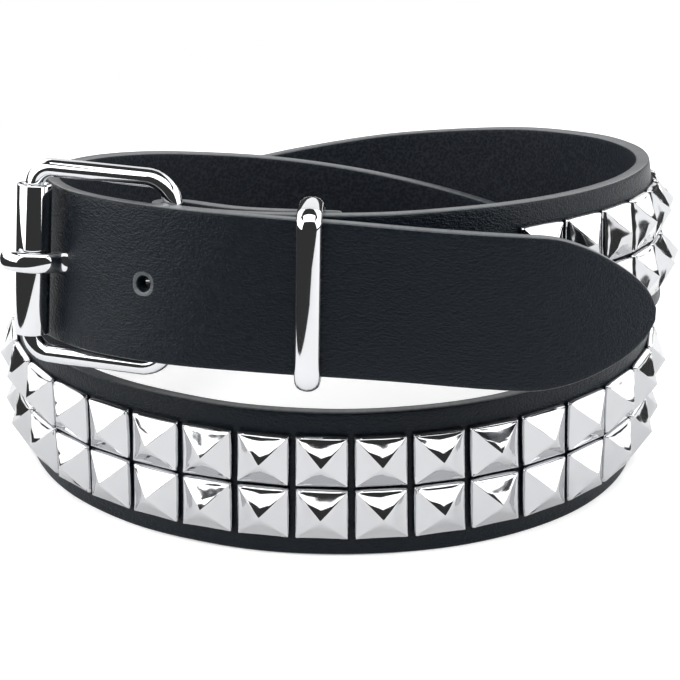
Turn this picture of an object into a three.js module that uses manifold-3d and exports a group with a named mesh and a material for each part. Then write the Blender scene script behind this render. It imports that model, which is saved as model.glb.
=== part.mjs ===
// A studded leather belt, fastened, wound round twice and standing on its edge.
// Millimetres, +Z up. The origin is the middle of the footprint, on the surface.
import * as THREE from 'three';
import * as BufferGeometryUtils from 'three/addons/utils/BufferGeometryUtils.js';
import Module from 'manifold-3d';

const wasm = await Module();
wasm.setup();

// Leather
const STRAP_WIDTH = 38;
const STRAP_THICKNESS = 3.8;
const EDGE_ROUNDING = 0.8;
const TIP_LENGTH = 25.5;
const TIP_BLUNT_HALF = 1.6;
const FOLD_LENGTH = 46;
const FOLD_CLOSING_LENGTH = 24;
const SKIVED_LENGTH = 12;
const SKIVED_THICKNESS = 1.6;
const HOLE_DIAMETER = 4.4;
const HOLE_SPACING = 26.4;
const HOLES_BEFORE_PRONG = 3;
const HOLES_AFTER_PRONG = 1;
const PRONG_HOLE_TO_TIP = 153.1;
const SLOT_WIDTH = 8.2;
const SLOT_REACH = 10;
const RESTING_SINK = 0.35;

// Coil: how the strap runs, measured from the front and counted towards +X
const COIL_RADIUS = 90;
const BAR_TURN = -31;
const TURN_STEP = 40;

// Studs
const STUD_SIDE = 13.5;
const STUD_COLUMN_PITCH = 14.48;
const STUD_ROW_PITCH = 13.95;
const STUD_TOP_MARGIN = 5.5;
const STUD_RIM_HEIGHT = 1.3;
const STUD_APEX_HEIGHT = 5.8;
const STUD_RIM_TAPER = 0.2;
const STUD_WEB_THICKNESS = 0.5;
const FIRST_STUD_FROM_BAR = 89.8;
const PLAIN_BEFORE_PRONG = 108;

// Buckle
const WIRE_DIAMETER = 4.7;
const FRAME_REACH = 36.8;
const FRAME_INNER_HEIGHT = 41.6;
const BAR_CORNER_RADIUS = 7;
const ROLLER_CORNER_RADIUS = 5;
const FRAME_RISE = 1.1;
const FRAME_TILT = 0.4;
const ROLLER_DIAMETER = 8.6;
const ROLLER_OVERHANG = 0.6;
const PRONG_WIDTH = 5.2;
const PRONG_THICKNESS = 2.4;
const PRONG_HOLE_CLEARANCE = 0.5;

// Keeper
const KEEPER_FROM_BAR = 37.8;
const KEEPER_BAND_WIDTH = 6.3;
const KEEPER_THICKNESS = 2.4;
const KEEPER_CORNER_RADIUS = 2.4;
const KEEPER_EDGE_GAP = 1;
const KEEPER_DROP = 0.5;
const KEEPER_TILT = -1.3;

// Gap kept between pieces and between layers of the strap
const SEAT_GAP = 0.3;

// Faces on curved pieces
const STRAP_STEP = 7;
const FOLD_STEPS = 10;
const TIP_STEPS = 6;
const WIRE_SIDES = 10;
const CORNER_STEPS = 4;
const ROLLER_SIDES = 24;
const HOLE_SIDES = 14;
const EYE_STEPS = 16;
const TONGUE_STEPS = 16;

// Stretch of the second turn that is looked along for the buckle, as a share of FRAME_REACH
const BUCKLE_STRETCH = 1.7;

// Route of the strap's outer face at mid height, a row for each TURN_STEP degrees of winding.
// reach: distance from the coil's axis as a share of COIL_RADIUS.
// rise: height as a share of STRAP_WIDTH.
// lean: how far the top leans towards the axis, in degrees.
// over: how many layers of the strap it lies on.
const ROUTE_FIRST_TURN = -40;
const ROUTE = [
  { reach: 1.04, rise: 1.87, lean: 13, over: 0 },
  { reach: 0.983, rise: 1.905, lean: 6, over: 0 },
  { reach: 0.924, rise: 1.79, lean: 7, over: 0 },
  { reach: 0.9, rise: 1.58, lean: 7, over: 0 },
  { reach: 0.844, rise: 1.313, lean: 1, over: 0 },
  { reach: 0.807, rise: 1.063, lean: -4, over: 0 },
  { reach: 0.837, rise: 0.856, lean: -2, over: 0 },
  { reach: 0.93, rise: 0.656, lean: -4, over: 0 },
  { reach: 1.016, rise: 0.51, lean: -3, over: 0 },
  { reach: 0.972, rise: 0.511, lean: 3, over: 0 },
  { reach: 0.928, rise: 0.511, lean: 4, over: 0 },
  { reach: 0.923, rise: 0.503, lean: 2, over: 0 },
  { reach: 0.868, rise: 0.514, lean: -7, over: 0 },
  { reach: 0.676, rise: 0.67, lean: -8, over: 0 },
  { reach: 0.532, rise: 0.88, lean: -3, over: 0 },
  { reach: 0.509, rise: 1.068, lean: -1, over: 0 },
  { reach: 0.63, rise: 1.279, lean: 0, over: 0 },
  { reach: 0.898, rise: 1.586, lean: 4, over: 0 },
  { reach: 1.034, rise: 1.893, lean: 12, over: 1 },
  { reach: 0.998, rise: 1.9, lean: 5, over: 1 },
  { reach: 1.16, rise: 1.678, lean: 7, over: 1 },
];

// Side view of the prong's tongue, from the pivot bar to its end.
// along: distance from the bar as a share of FRAME_REACH.
// lift: height over the bar's centre as a share of the height on the roller's crown.
const PRONG_ROWS = [
  { along: 0.1, lift: 0.08 },
  { along: 0.5, lift: -0.03 },
  { along: 0.74, lift: -0.08 },
  { along: 0.82, lift: 0.3 },
  { along: 0.9, lift: 0.84 },
  { along: 1, lift: 1 },
  { along: 1.1, lift: 0.93 },
  { along: 1.19, lift: 0.62 },
];

const leather = new THREE.MeshStandardMaterial({ color: 0x14151a, roughness: 0.55, metalness: 0 });
const chrome = new THREE.MeshStandardMaterial({ color: 0xd8dadd, roughness: 0.15, metalness: 1 });
const studChrome = new THREE.MeshStandardMaterial({ color: 0xc9cbd0, roughness: 0.2, metalness: 1 });

// Natural cubic spline through evenly spaced values, straight beyond its ends
function evenSpline(values) {
  const count = values.length;
  const bend = new Array(count).fill(0);
  const sweep = new Array(count).fill(0);
  for (let i = 1; i < count - 1; i += 1) {
    const pivot = 4 + sweep[i - 1];
    sweep[i] = -1 / pivot;
    const second = 6 * (values[i - 1] - 2 * values[i] + values[i + 1]);
    bend[i] = (second - bend[i - 1]) / pivot;
  }
  for (let i = count - 2; i > 0; i -= 1) {
    bend[i] += sweep[i] * bend[i + 1];
  }
  return (x) => {
    const i = THREE.MathUtils.clamp(Math.floor(x), 0, count - 2);
    const b = THREE.MathUtils.clamp(x - i, 0, 1);
    const a = 1 - b;
    const curve = ((a ** 3 - a) * bend[i] + (b ** 3 - b) * bend[i + 1]) / 6;
    const inside = a * values[i] + b * values[i + 1] + curve;
    const past = x - i - b;
    const nearBend = past > 0 ? bend[i] : -2 * bend[i];
    const farBend = past > 0 ? 2 * bend[i + 1] : -bend[i + 1];
    const slope = values[i + 1] - values[i] + (nearBend + farBend) / 6;
    return inside + past * slope;
  };
}

const reachAt = evenSpline(ROUTE.map((row) => (
  row.reach * COIL_RADIUS + row.over * (STRAP_THICKNESS + SEAT_GAP)
)));
const riseAt = evenSpline(ROUTE.map((row) => row.rise * STRAP_WIDTH));
const leanAt = evenSpline(ROUTE.map((row) => row.lean));

function pointAtTurn(turn) {
  const step = (turn - ROUTE_FIRST_TURN) / TURN_STEP;
  const reach = reachAt(step);
  const angle = THREE.MathUtils.degToRad(turn);
  return new THREE.Vector3(
    reach * Math.sin(angle),
    -reach * Math.cos(angle),
    riseAt(step) - RESTING_SINK,
  );
}

// Lengths along the route, measured from the pivot bar, one entry for each degree
const ROUTE_END_TURN = ROUTE_FIRST_TURN + TURN_STEP * (ROUTE.length + 1);
const lengthAtDegree = [0];
for (let turn = BAR_TURN; turn < ROUTE_END_TURN; turn += 1) {
  const stretch = pointAtTurn(turn).distanceTo(pointAtTurn(turn + 1));
  lengthAtDegree.push(lengthAtDegree.at(-1) + stretch);
}

function turnAtLength(length) {
  let low = 0;
  let high = lengthAtDegree.length - 1;
  while (high - low > 1) {
    const middle = (low + high) >> 1;
    if (lengthAtDegree[middle] <= length) {
      low = middle;
    } else {
      high = middle;
    }
  }
  const part = (length - lengthAtDegree[low]) / (lengthAtDegree[high] - lengthAtDegree[low]);
  return BAR_TURN + low + part;
}

// Place on the strap: the outer face's mid point, with its along, out and up directions
function placeAtTurn(turn) {
  const point = pointAtTurn(turn);
  const along = pointAtTurn(turn + 0.5).sub(pointAtTurn(turn - 0.5)).normalize();
  const level = new THREE.Vector3().crossVectors(along, new THREE.Vector3(0, 0, 1)).normalize();
  const upright = new THREE.Vector3().crossVectors(level, along);
  const lean = THREE.MathUtils.degToRad(leanAt((turn - ROUTE_FIRST_TURN) / TURN_STEP));
  const up = upright.clone().multiplyScalar(Math.cos(lean)).addScaledVector(level, -Math.sin(lean));
  const out = level.clone().multiplyScalar(Math.cos(lean)).addScaledVector(upright, Math.sin(lean));
  return { point, along, out, up };
}

function place(length) {
  return placeAtTurn(turnAtLength(length));
}

function offsetPoint(spot, out, up, along = 0) {
  return spot.point.clone()
    .addScaledVector(spot.out, out)
    .addScaledVector(spot.up, up)
    .addScaledVector(spot.along, along);
}

// Closed skin over a row of rings with equal point counts; ends are capped or joined
function skin(rings, joined = false) {
  const positions = rings.flat().flatMap((p) => [p.x, p.y, p.z]);
  const size = rings[0].length;
  const index = [];
  const spans = joined ? rings.length : rings.length - 1;
  for (let i = 0; i < spans; i += 1) {
    const next = (i + 1) % rings.length;
    for (let j = 0; j < size; j += 1) {
      const k = (j + 1) % size;
      index.push(i * size + j, i * size + k, next * size + k);
      index.push(i * size + j, next * size + k, next * size + j);
    }
  }
  if (!joined) {
    const last = (rings.length - 1) * size;
    for (let j = 1; j < size - 1; j += 1) {
      index.push(0, j + 1, j);
      index.push(last, last + j, last + j + 1);
    }
  }
  return closedGeometry(positions, index);
}

// Geometry whose faces point out, whichever way its triangles were listed
function closedGeometry(positions, index) {
  let volume = 0;
  for (let i = 0; i < index.length; i += 3) {
    const [a, b, c] = [0, 1, 2].map((k) => (
      new THREE.Vector3().fromArray(positions, index[i + k] * 3)
    ));
    volume += a.dot(b.cross(c));
  }
  if (volume < 0) {
    index.reverse();
  }
  const geometry = new THREE.BufferGeometry();
  geometry.setAttribute('position', new THREE.Float32BufferAttribute(positions, 3));
  geometry.setIndex(index);
  return geometry;
}

function toSolid(geometry) {
  const bare = geometry.clone();
  bare.deleteAttribute('normal');
  bare.deleteAttribute('uv');
  const merged = BufferGeometryUtils.mergeVertices(bare, 1e-4);
  return new wasm.Manifold(new wasm.Mesh({
    numProp: 3,
    vertProperties: new Float32Array(merged.attributes.position.array),
    triVerts: new Uint32Array(merged.index.array),
  }));
}

function toGeometry(solid) {
  const mesh = solid.getMesh();
  return closedGeometry(Array.from(mesh.vertProperties), Array.from(mesh.triVerts));
}

// Section of the strap at a spot: a flat bar with eased edges, thickness going inwards
function strapSection(spot, halfWidth = STRAP_WIDTH / 2, thickness = STRAP_THICKNESS) {
  const ease = Math.min(EDGE_ROUNDING, thickness * 0.4, halfWidth * 0.5);
  const corners = [
    [-halfWidth + ease, 0],
    [halfWidth - ease, 0],
    [halfWidth, -ease],
    [halfWidth, ease - thickness],
    [halfWidth - ease, -thickness],
    [ease - halfWidth, -thickness],
    [-halfWidth, ease - thickness],
    [-halfWidth, -ease],
  ];
  return corners.map(([up, out]) => offsetPoint(spot, out, up));
}

// The pivot bar runs inside the fold, behind the start of the strap's first turn
const wireRadius = WIRE_DIAMETER / 2;
const rollerRadius = ROLLER_DIAMETER / 2;
const foldRadius = wireRadius + SEAT_GAP + STRAP_THICKNESS;
const barSpot = place(0);
const barCentre = offsetPoint(barSpot, -foldRadius, 0);

// Stretch of the second turn that lies by the buckle, as spots a millimetre apart
const lapStart = lengthAtDegree[720];
const buckleStretch = [];
for (let back = 0; back < FRAME_REACH * BUCKLE_STRETCH; back += 1) {
  buckleStretch.push(place(lapStart - back));
}

// The frame swings on its bar until the roller seats on the strap that runs behind it
function frameDirection(swing) {
  return barSpot.along.clone()
    .multiplyScalar(-Math.cos(swing))
    .addScaledVector(barSpot.out, Math.sin(swing));
}

function rollerClearance(swing) {
  const roller = barCentre.clone().addScaledVector(frameDirection(swing), FRAME_REACH);
  let least = Infinity;
  for (const spot of buckleStretch) {
    for (const height of [-STRAP_WIDTH / 2, 0, STRAP_WIDTH / 2]) {
      const face = offsetPoint(spot, 0, height);
      const gap = roller.clone().sub(face);
      gap.addScaledVector(barSpot.up, -gap.dot(barSpot.up));
      const side = Math.sign(gap.dot(spot.out));
      if (Math.abs(gap.dot(spot.along)) < 1) {
        least = Math.min(least, side * gap.length() - rollerRadius);
      }
    }
  }
  return least;
}

function seatedSwing() {
  let low = THREE.MathUtils.degToRad(-40);
  let high = THREE.MathUtils.degToRad(60);
  for (let i = 0; i < 40; i += 1) {
    const middle = (low + high) / 2;
    if (rollerClearance(middle) < SEAT_GAP) {
      low = middle;
    } else {
      high = middle;
    }
  }
  return high;
}

// The bar has play in the fold, so the frame sits a little high and a little turned
const swungAlong = frameDirection(seatedSwing());
const frameOut = new THREE.Vector3().crossVectors(barSpot.up, swungAlong).normalize();
const frameTilt = -THREE.MathUtils.degToRad(FRAME_TILT);
const frameAlong = swungAlong.clone().applyAxisAngle(frameOut, frameTilt);
const frameUp = new THREE.Vector3().crossVectors(frameAlong, frameOut);
const buckleMatrix = new THREE.Matrix4()
  .makeBasis(frameAlong, frameOut, frameUp)
  .setPosition(barCentre.clone().addScaledVector(barSpot.up, FRAME_RISE));

// Rounded rectangle as a row of points with outward directions, in a plane.
// Its two corners at +x have one radius, and the two at -x the other.
function roundedLoop(width, height, nearRadius, farRadius, steps) {
  const loop = [];
  const corners = [[1, 1, 0], [-1, 1, 90], [-1, -1, 180], [1, -1, 270]];
  for (const [sideX, sideY, start] of corners) {
    const radius = sideX > 0 ? nearRadius : farRadius;
    const centreX = sideX * (width / 2 - radius);
    const centreY = sideY * (height / 2 - radius);
    for (let i = 0; i <= steps; i += 1) {
      const angle = THREE.MathUtils.degToRad(start + (90 * i) / steps);
      const outX = Math.cos(angle);
      const outY = Math.sin(angle);
      loop.push({ x: centreX + radius * outX, y: centreY + radius * outY, outX, outY });
    }
  }
  return loop;
}

// Buckle pieces, in the frame's own axes: x from the bar to the roller, y out, z up
function frameGeometry(margin) {
  const height = FRAME_INNER_HEIGHT + WIRE_DIAMETER;
  const loop = roundedLoop(FRAME_REACH, height, ROLLER_CORNER_RADIUS, BAR_CORNER_RADIUS, CORNER_STEPS);
  const rings = loop.map((spot) => {
    const ring = [];
    for (let i = 0; i < WIRE_SIDES; i += 1) {
      const angle = (2 * Math.PI * i) / WIRE_SIDES;
      const reach = (wireRadius + margin) * Math.cos(angle);
      ring.push(new THREE.Vector3(
        FRAME_REACH / 2 + spot.x + spot.outX * reach,
        (wireRadius + margin) * Math.sin(angle),
        spot.y + spot.outY * reach,
      ));
    }
    return ring;
  });
  return skin(rings, true);
}

function rollerGeometry() {
  const half = (FRAME_INNER_HEIGHT + WIRE_DIAMETER) / 2 - ROLLER_CORNER_RADIUS + ROLLER_OVERHANG;
  const bore = wireRadius + SEAT_GAP;
  const ease = 0.4;
  const profile = [
    [bore, -half],
    [rollerRadius - ease, -half],
    [rollerRadius, -half + ease],
    [rollerRadius, half - ease],
    [rollerRadius - ease, half],
    [bore, half],
    [bore, -half],
  ];
  const points = profile.map(([x, y]) => new THREE.Vector2(x, y));
  const geometry = new THREE.LatheGeometry(points, ROLLER_SIDES);
  geometry.rotateX(Math.PI / 2);
  return geometry;
}

// Middle line of the prong's tongue seen from the side
function tongueLine(steps) {
  const crown = rollerRadius + SEAT_GAP + PRONG_THICKNESS / 2;
  const rows = PRONG_ROWS.map((row) => (
    new THREE.Vector2(row.along * FRAME_REACH, row.lift * crown)
  ));
  return new THREE.SplineCurve(rows).getSpacedPoints(steps);
}

// Outline of the prong's tongue seen from the side, thicker by a margin all round
function tongueShape(margin) {
  const line = tongueLine(TONGUE_STEPS);
  const half = PRONG_THICKNESS / 2 + margin;
  const over = [];
  const under = [];
  line.forEach((point, i) => {
    const before = line[Math.max(i - 1, 0)];
    const after = line[Math.min(i + 1, line.length - 1)];
    const way = after.clone().sub(before).normalize();
    const across = new THREE.Vector2(-way.y, way.x);
    const slim = i === line.length - 1 ? 0.5 : 1;
    over.push(point.clone().addScaledVector(across, half * slim));
    under.unshift(point.clone().addScaledVector(across, -half * slim));
  });
  return new THREE.Shape([...over, ...under]);
}

function tongueGeometry(margin) {
  const depth = PRONG_WIDTH + 2 * margin;
  const geometry = new THREE.ExtrudeGeometry(tongueShape(margin), { depth, bevelEnabled: false });
  geometry.translate(0, 0, -depth / 2);
  return geometry;
}

function prongGeometry() {
  const bore = wireRadius + SEAT_GAP;
  const eye = new THREE.Shape().absarc(0, 0, bore + PRONG_THICKNESS * 0.7, 0, 2 * Math.PI);
  eye.holes.push(new THREE.Path().absarc(0, 0, bore, 0, 2 * Math.PI));
  const eyeGeometry = new THREE.ExtrudeGeometry(eye, {
    depth: PRONG_WIDTH,
    bevelEnabled: false,
    curveSegments: EYE_STEPS,
  });
  eyeGeometry.translate(0, 0, -PRONG_WIDTH / 2);
  return toGeometry(toSolid(eyeGeometry).add(toSolid(tongueGeometry(0))));
}

// Where the tongue passes through the strap, as a length along it
function prongHoleLength() {
  const tongue = tongueLine(TONGUE_STEPS * 5);
  const toFrame = buckleMatrix.clone().invert();
  let best = { gap: Infinity, length: 0 };
  for (let back = 0; back < FRAME_REACH * BUCKLE_STRETCH; back += 0.5) {
    const middle = offsetPoint(place(lapStart - back), -STRAP_THICKNESS / 2, 0);
    middle.applyMatrix4(toFrame);
    for (const point of tongue) {
      const gap = Math.hypot(point.x - middle.x, point.y - middle.y);
      if (gap < best.gap && middle.x > WIRE_DIAMETER) {
        best = { gap, length: lapStart - back };
      }
    }
  }
  return best.length;
}

const prongLength = prongHoleLength();
const tipLength = prongLength + PRONG_HOLE_TO_TIP;
const studStart = FIRST_STUD_FROM_BAR;
const studColumns = Math.floor((prongLength - PLAIN_BEFORE_PRONG - studStart) / STUD_COLUMN_PITCH);
const firstTurnColumns = Math.round(studColumns / 2);

// Rings of the layer that is folded back behind the first turn, from its skived end to the bar
function foldBackRings() {
  const rings = [];
  const steps = Math.round(FOLD_LENGTH / STRAP_STEP) + 2;
  for (let i = 0; i < steps; i += 1) {
    const length = FOLD_LENGTH * (1 - i / steps);
    const spot = place(length);
    const skived = Math.min(1, (FOLD_LENGTH - length) / SKIVED_LENGTH);
    const thickness = THREE.MathUtils.lerp(SKIVED_THICKNESS, STRAP_THICKNESS, skived);
    const closing = Math.max(0, 1 - length / FOLD_CLOSING_LENGTH);
    const eased = closing * closing * (3 - 2 * closing);
    const opening = SEAT_GAP + WIRE_DIAMETER * eased + SEAT_GAP * closing;
    const depth = STRAP_THICKNESS + opening + thickness;
    rings.push(strapSection({
      point: offsetPoint(spot, -depth, 0),
      along: spot.along.clone().negate(),
      out: spot.out.clone().negate(),
      up: spot.up,
    }, STRAP_WIDTH / 2, thickness));
  }
  return rings;
}

// Rings of the half circle round the pivot bar
function foldRings() {
  const rings = [];
  for (let i = 0; i < FOLD_STEPS; i += 1) {
    const angle = (Math.PI * i) / FOLD_STEPS;
    const out = barSpot.out.clone()
      .multiplyScalar(-Math.cos(angle))
      .addScaledVector(barSpot.along, -Math.sin(angle));
    const along = barSpot.along.clone()
      .multiplyScalar(-Math.cos(angle))
      .addScaledVector(barSpot.out, Math.sin(angle));
    const point = barCentre.clone().addScaledVector(out, foldRadius);
    rings.push(strapSection({ point, along, out, up: barSpot.up }));
  }
  return rings;
}

// Rings of the strap from the bar to its point; the point narrows as a parabola
function runRings() {
  const rings = [];
  const straight = tipLength - TIP_LENGTH;
  const steps = Math.ceil(straight / STRAP_STEP);
  for (let i = 0; i < steps; i += 1) {
    rings.push(strapSection(place((straight * i) / steps)));
  }
  for (let i = TIP_STEPS; i >= 0; i -= 1) {
    const share = i / TIP_STEPS;
    const halfWidth = Math.max(TIP_BLUNT_HALF, (STRAP_WIDTH / 2) * share);
    rings.push(strapSection(place(tipLength - TIP_LENGTH * share * share), halfWidth));
  }
  return rings;
}

// Round cutter through the strap at a length
function holeCutter(length) {
  const spot = place(length);
  const radius = HOLE_DIAMETER / 2;
  const geometry = new THREE.CylinderGeometry(radius, radius, 3 * STRAP_THICKNESS, HOLE_SIDES);
  const matrix = new THREE.Matrix4().makeBasis(spot.along, spot.out, spot.up.clone().negate());
  matrix.setPosition(offsetPoint(spot, -STRAP_THICKNESS / 2, 0));
  return geometry.applyMatrix4(matrix);
}

// Cutter for the slot in the fold, where the prong's eye sits on the bar
function slotCutter() {
  const radius = foldRadius + SEAT_GAP / 3;
  const shape = new THREE.Shape();
  shape.moveTo(SLOT_REACH, radius);
  shape.lineTo(0, radius);
  shape.absarc(0, 0, radius, Math.PI / 2, 1.5 * Math.PI, false);
  shape.lineTo(SLOT_REACH, -radius);
  const geometry = new THREE.ExtrudeGeometry(shape, {
    depth: SLOT_WIDTH,
    bevelEnabled: false,
    curveSegments: FOLD_STEPS,
  });
  geometry.translate(0, 0, -SLOT_WIDTH / 2);
  const across = barSpot.up.clone().negate();
  const matrix = new THREE.Matrix4().makeBasis(barSpot.along, barSpot.out, across);
  return geometry.applyMatrix4(matrix.setPosition(barCentre));
}

// Slab under the surface: it presses the leather's edge flat where the belt rests
function surfaceCutter() {
  const side = 4 * COIL_RADIUS;
  const geometry = new THREE.BoxGeometry(side, side, STRAP_WIDTH);
  return geometry.translate(0, 0, -STRAP_WIDTH / 2);
}

function strapGeometry() {
  let solid = toSolid(skin([...foldBackRings(), ...foldRings(), ...runRings()]));
  const cutters = [
    slotCutter(),
    tongueGeometry(PRONG_HOLE_CLEARANCE).applyMatrix4(buckleMatrix),
    // The fold gives way where the frame's corners press into it
    frameGeometry(SEAT_GAP).applyMatrix4(buckleMatrix),
  ];
  for (let i = -HOLES_BEFORE_PRONG; i <= HOLES_AFTER_PRONG; i += 1) {
    if (i !== 0) {
      cutters.push(holeCutter(prongLength + i * HOLE_SPACING));
    }
  }
  cutters.push(surfaceCutter());
  for (const cutter of cutters) {
    solid = solid.subtract(toSolid(cutter));
  }
  return toGeometry(solid);
}

// A field of studs from one column to another: two rows of pyramids on a thin backing
function studFieldGeometry(firstColumn, lastColumn) {
  const positions = [];
  const seat = SEAT_GAP;
  const backing = seat + STUD_WEB_THICKNESS;
  const fieldTop = STRAP_WIDTH / 2 - STUD_TOP_MARGIN;
  const columnMargin = (STUD_COLUMN_PITCH - STUD_SIDE) / 2;
  const rowMargin = (STUD_ROW_PITCH - STUD_SIDE) / 2;

  const at = (length, up, out) => offsetPoint(place(length), out, up);
  const triangle = (a, b, c) => positions.push(...a.toArray(), ...b.toArray(), ...c.toArray());
  const quad = (a, b, c, d) => {
    triangle(a, b, c);
    triangle(a, c, d);
  };
  const loopAt = (start, end, low, high, out) => {
    const middle = (start + end) / 2;
    return [
      at(start, low, out), at(middle, low, out), at(end, low, out),
      at(end, high, out), at(middle, high, out), at(start, high, out),
    ];
  };
  const join = (outer, inner) => outer.forEach((corner, i) => {
    const next = (i + 1) % outer.length;
    quad(corner, outer[next], inner[next], inner[i]);
  });

  for (let column = firstColumn; column < lastColumn; column += 1) {
    const start = studStart + column * STUD_COLUMN_PITCH;
    const end = start + STUD_COLUMN_PITCH;
    for (const row of [0, 1]) {
      const high = fieldTop - row * STUD_ROW_PITCH;
      const low = high - STUD_ROW_PITCH;
      const squareAt = (inset, out) => loopAt(
        start + columnMargin + inset,
        end - columnMargin - inset,
        low + rowMargin + inset,
        high - rowMargin - inset,
        out,
      );
      const cell = loopAt(start, end, low, high, backing);
      const foot = squareAt(0, backing);
      const rim = squareAt(STUD_RIM_TAPER, seat + STUD_RIM_HEIGHT);
      const apex = at((start + end) / 2, (low + high) / 2, seat + STUD_APEX_HEIGHT);
      join(cell, foot);
      join(foot, rim);
      rim.forEach((corner, i) => triangle(corner, rim[(i + 1) % rim.length], apex));
      const under = loopAt(start, end, low, high, seat);
      quad(under[0], under[5], under[4], under[1]);
      quad(under[1], under[4], under[3], under[2]);
      if (row === 0) {
        quad(cell[4], cell[3], under[3], under[4]);
        quad(cell[5], cell[4], under[4], under[5]);
      } else {
        quad(cell[1], cell[0], under[0], under[1]);
        quad(cell[2], cell[1], under[1], under[2]);
      }
      if (column === firstColumn) {
        quad(cell[0], cell[5], under[5], under[0]);
      }
      if (column === lastColumn - 1) {
        quad(cell[3], cell[2], under[2], under[3]);
      }
    }
  }
  const loose = new THREE.BufferGeometry();
  loose.setAttribute('position', new THREE.Float32BufferAttribute(positions, 3));
  const merged = BufferGeometryUtils.mergeVertices(loose, 1e-3);
  return closedGeometry(Array.from(merged.attributes.position.array), Array.from(merged.index.array));
}

// Keeper: a domed band bent round the layers of the strap, which it clears all round
function keeperMesh() {
  const turn = turnAtLength(KEEPER_FROM_BAR);
  const spot = placeAtTurn(turn);
  const tilt = THREE.MathUtils.degToRad(KEEPER_TILT);
  const up = spot.up.clone().applyAxisAngle(spot.out, tilt);
  const side = new THREE.Vector3().crossVectors(spot.out, up);
  const foldBack = STRAP_THICKNESS + SEAT_GAP + STRAP_THICKNESS;
  const half = KEEPER_BAND_WIDTH / 2;
  const held = new THREE.Box2();
  for (const shift of [-half, 0, half]) {
    const under = place(KEEPER_FROM_BAR + shift);
    const over = placeAtTurn(turnAtLength(KEEPER_FROM_BAR + shift) + 720);
    for (const edge of [-STRAP_WIDTH / 2, STRAP_WIDTH / 2]) {
      const inner = offsetPoint(under, -foldBack - SEAT_GAP, edge);
      const outer = offsetPoint(over, 0, edge);
      for (const corner of [inner, outer]) {
        corner.sub(spot.point);
        held.expandByPoint(new THREE.Vector2(corner.dot(spot.out), corner.dot(up)));
      }
    }
  }
  held.expandByVector(new THREE.Vector2(SEAT_GAP, KEEPER_EDGE_GAP));
  const size = held.getSize(new THREE.Vector2());
  const centre = held.getCenter(new THREE.Vector2());
  centre.y -= KEEPER_DROP;
  const loop = roundedLoop(size.x, size.y, KEEPER_CORNER_RADIUS, KEEPER_CORNER_RADIUS, CORNER_STEPS);
  const section = [
    [-half, 0],
    [-half, KEEPER_THICKNESS * 0.45],
    [-half * 0.55, KEEPER_THICKNESS * 0.9],
    [0, KEEPER_THICKNESS],
    [half * 0.55, KEEPER_THICKNESS * 0.9],
    [half, KEEPER_THICKNESS * 0.45],
    [half, 0],
  ];
  const rings = loop.map((point) => section.map(([across, raised]) => new THREE.Vector3(
    across,
    point.x + point.outX * raised,
    point.y + point.outY * raised,
  )));
  const mesh = new THREE.Mesh(skin(rings, true), chrome);
  mesh.name = 'keeper';
  const matrix = new THREE.Matrix4().makeBasis(side, spot.out, up);
  const middle = spot.point.clone().addScaledVector(spot.out, centre.x).addScaledVector(up, centre.y);
  mesh.applyMatrix4(matrix.setPosition(middle));
  return mesh;
}

function named(name, geometry, material) {
  const mesh = new THREE.Mesh(geometry, material);
  mesh.name = name;
  return mesh;
}

const buckle = new THREE.Group();
buckle.add(
  named('buckle_frame', frameGeometry(0), chrome),
  named('prong', prongGeometry(), chrome),
);
const roller = named('roller', rollerGeometry(), chrome);
roller.position.x = FRAME_REACH;
buckle.add(roller);
buckle.applyMatrix4(buckleMatrix);

const group = new THREE.Group();
group.add(
  named('strap', strapGeometry(), leather),
  named('studs_first_turn', studFieldGeometry(0, firstTurnColumns), studChrome),
  named('studs_second_turn', studFieldGeometry(firstTurnColumns, studColumns), studChrome),
  buckle,
  keeperMesh(),
);

// The origin is the middle of the footprint
group.updateMatrixWorld(true);
const footprint = new THREE.Box3().setFromObject(group, true).getCenter(new THREE.Vector3());
group.position.set(-footprint.x, -footprint.y, 0);

export default group;
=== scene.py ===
# %% [markdown]
# # A studded leather belt
#
# The belt is fastened, wound round twice and stands on its edge. A thin strap like this could be
# pushed into shape point by point, but a maker works it flat and only then winds it up. The
# lesson does the same: leather and studs are made flat, and one function bends them.

# %% Load the frame
import math

import bmesh
import bpy
import numpy as np
from mathutils import Matrix, Vector, noise


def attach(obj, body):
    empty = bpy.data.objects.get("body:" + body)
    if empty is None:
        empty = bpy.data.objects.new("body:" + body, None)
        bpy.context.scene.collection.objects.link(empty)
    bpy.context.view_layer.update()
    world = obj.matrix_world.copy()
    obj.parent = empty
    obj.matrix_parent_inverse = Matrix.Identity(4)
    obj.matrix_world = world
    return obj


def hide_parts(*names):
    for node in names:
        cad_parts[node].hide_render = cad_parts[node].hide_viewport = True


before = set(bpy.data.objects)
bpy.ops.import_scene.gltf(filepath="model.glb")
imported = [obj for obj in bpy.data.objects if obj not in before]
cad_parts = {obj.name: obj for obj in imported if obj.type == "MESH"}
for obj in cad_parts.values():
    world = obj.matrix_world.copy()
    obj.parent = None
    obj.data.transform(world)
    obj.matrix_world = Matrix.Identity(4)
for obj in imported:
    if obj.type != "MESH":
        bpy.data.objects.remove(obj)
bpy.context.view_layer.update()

# %% [markdown]
# ## Sizes
#
# Lengths are in millimetres until a piece is finished, as on the maker's drawing. They are the
# sizes that the solids were made from, so each detailed piece fits over its solid.

# %% Sizes
MM = 0.001

STRAP_WIDTH = 38
STRAP_THICKNESS = 3.8
TIP_LENGTH = 25.5
TIP_BLUNT_HALF = 1.6
FOLD_LENGTH = 46
FOLD_CLOSING_LENGTH = 24
SKIVED_LENGTH = 12
SKIVED_THICKNESS = 1.6
RESTING_SINK = 0.35
SEAT_GAP = 0.3

HOLE_RADIUS = 2.2
HOLE_SPACING = 26.4
PRONG_HOLE = 957.47
TIP_END = PRONG_HOLE + 153.1

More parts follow.
